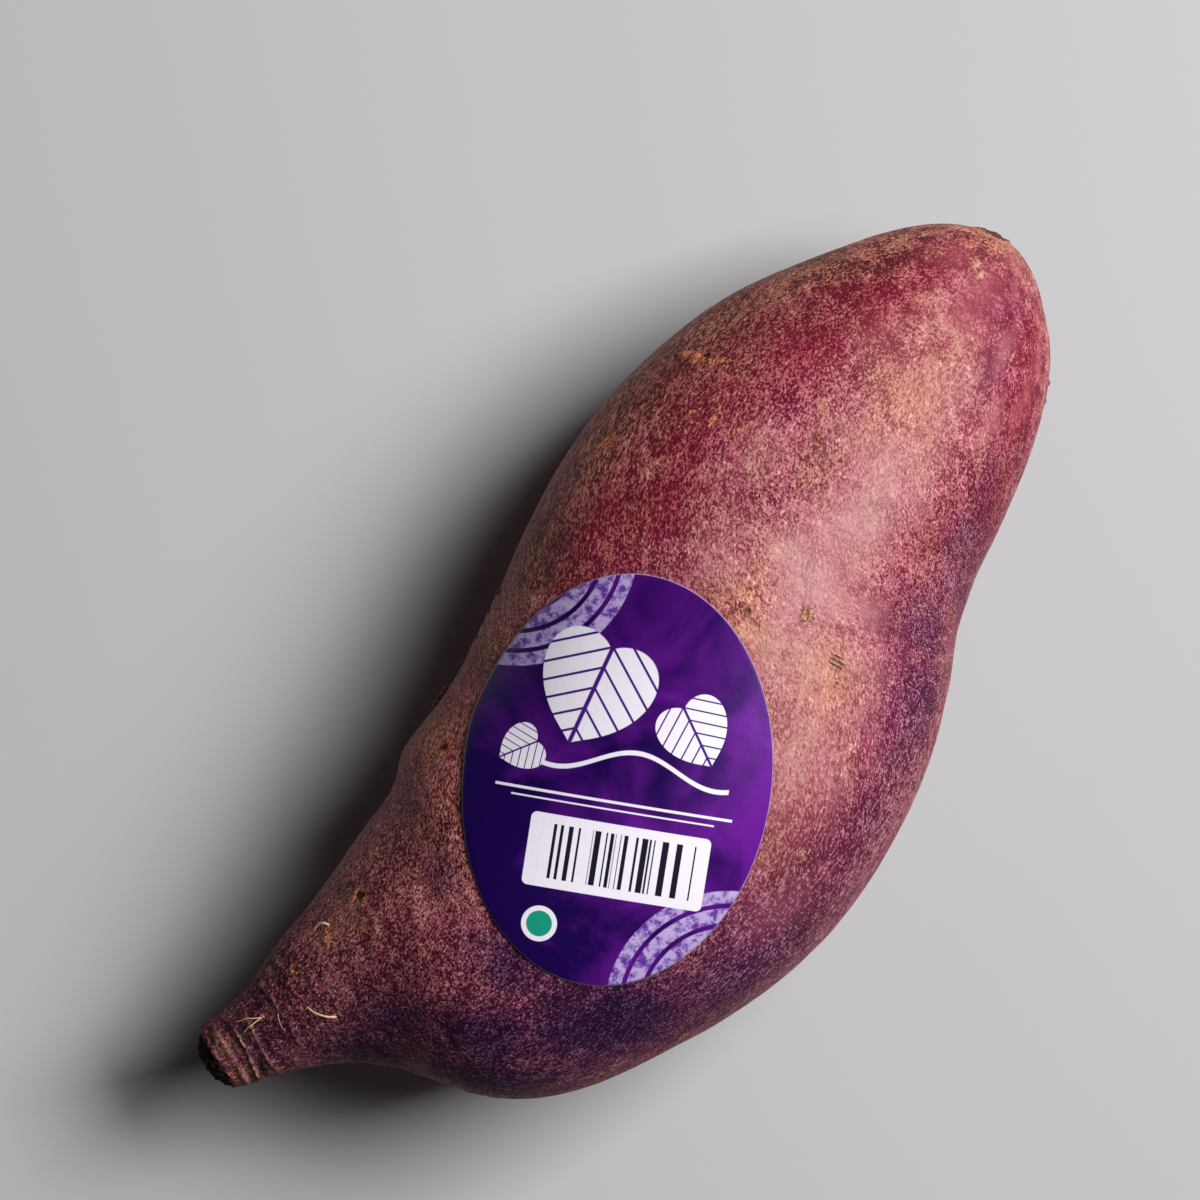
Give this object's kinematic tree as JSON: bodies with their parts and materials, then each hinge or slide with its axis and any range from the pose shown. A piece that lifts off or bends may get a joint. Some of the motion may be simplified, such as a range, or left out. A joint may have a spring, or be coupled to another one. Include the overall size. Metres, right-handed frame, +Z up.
{
  "type": "sweet potato",
  "caption": "Whole purple-skinned sweet potato lying on its back: thick curved root, ringed broken tail, stem scar at the crown and an oval fruit label on its upper side.",
  "frame": {"origin": "under the middle of the bounding box, on the surface that the sweet potato rests on", "axes": "+X along the root from its broken tail to its crown, +Y to the side that the tail bends towards, +Z up through the labelled side"},
  "size_m": [0.138, 0.0614, 0.0511],
  "materials": {
    "skin": "matte",
    "label": "satin"
  },
  "bodies": {
    "root": {"sweet_potato": "skin", "label": "label"}
  },
  "joints": []
}
